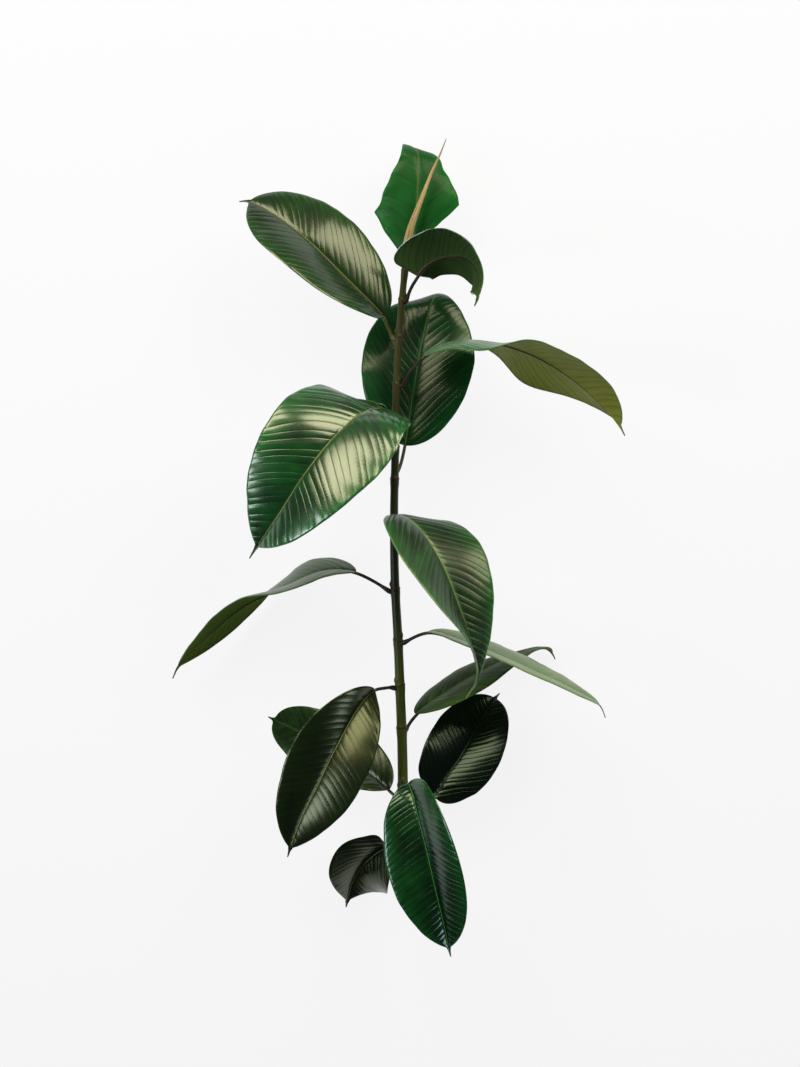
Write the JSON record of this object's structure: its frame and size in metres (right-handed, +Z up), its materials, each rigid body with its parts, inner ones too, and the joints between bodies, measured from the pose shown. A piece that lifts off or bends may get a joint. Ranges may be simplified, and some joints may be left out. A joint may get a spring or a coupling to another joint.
{
  "type": "ficus branch",
  "caption": "Cut rubber plant branch lying on a surface: a tapering stem with large leathery oval leaves on short petioles and a pointed bud sheath at its tip.",
  "frame": {"origin": "on the surface that the branch lies on, under the middle of its bounding box", "axes": "+Y along the stem from its cut end to the bud, +Z up from the surface, +X across the branch to the right as seen from above with the bud ahead"},
  "size_m": [0.4504, 0.8108, 0.1836],
  "materials": {
    "stem_bark": "satin",
    "bud_sheath": "satin",
    "young_leaf": "gloss",
    "old_leaf": "gloss"
  },
  "bodies": {
    "root": {"stem": "stem_bark", "bud_sheath": "bud_sheath", "leaf_01": "young_leaf", "leaf_02": "young_leaf", "leaf_03": "young_leaf", "leaf_04": "young_leaf", "leaf_05": "young_leaf", "leaf_06": "young_leaf", "leaf_07": "young_leaf", "leaf_08": "young_leaf", "leaf_09": "young_leaf", "leaf_10": "old_leaf", "leaf_11": "old_leaf", "leaf_12": "old_leaf", "leaf_13": "old_leaf", "leaf_14": "old_leaf", "leaf_15": "old_leaf"}
  },
  "joints": []
}
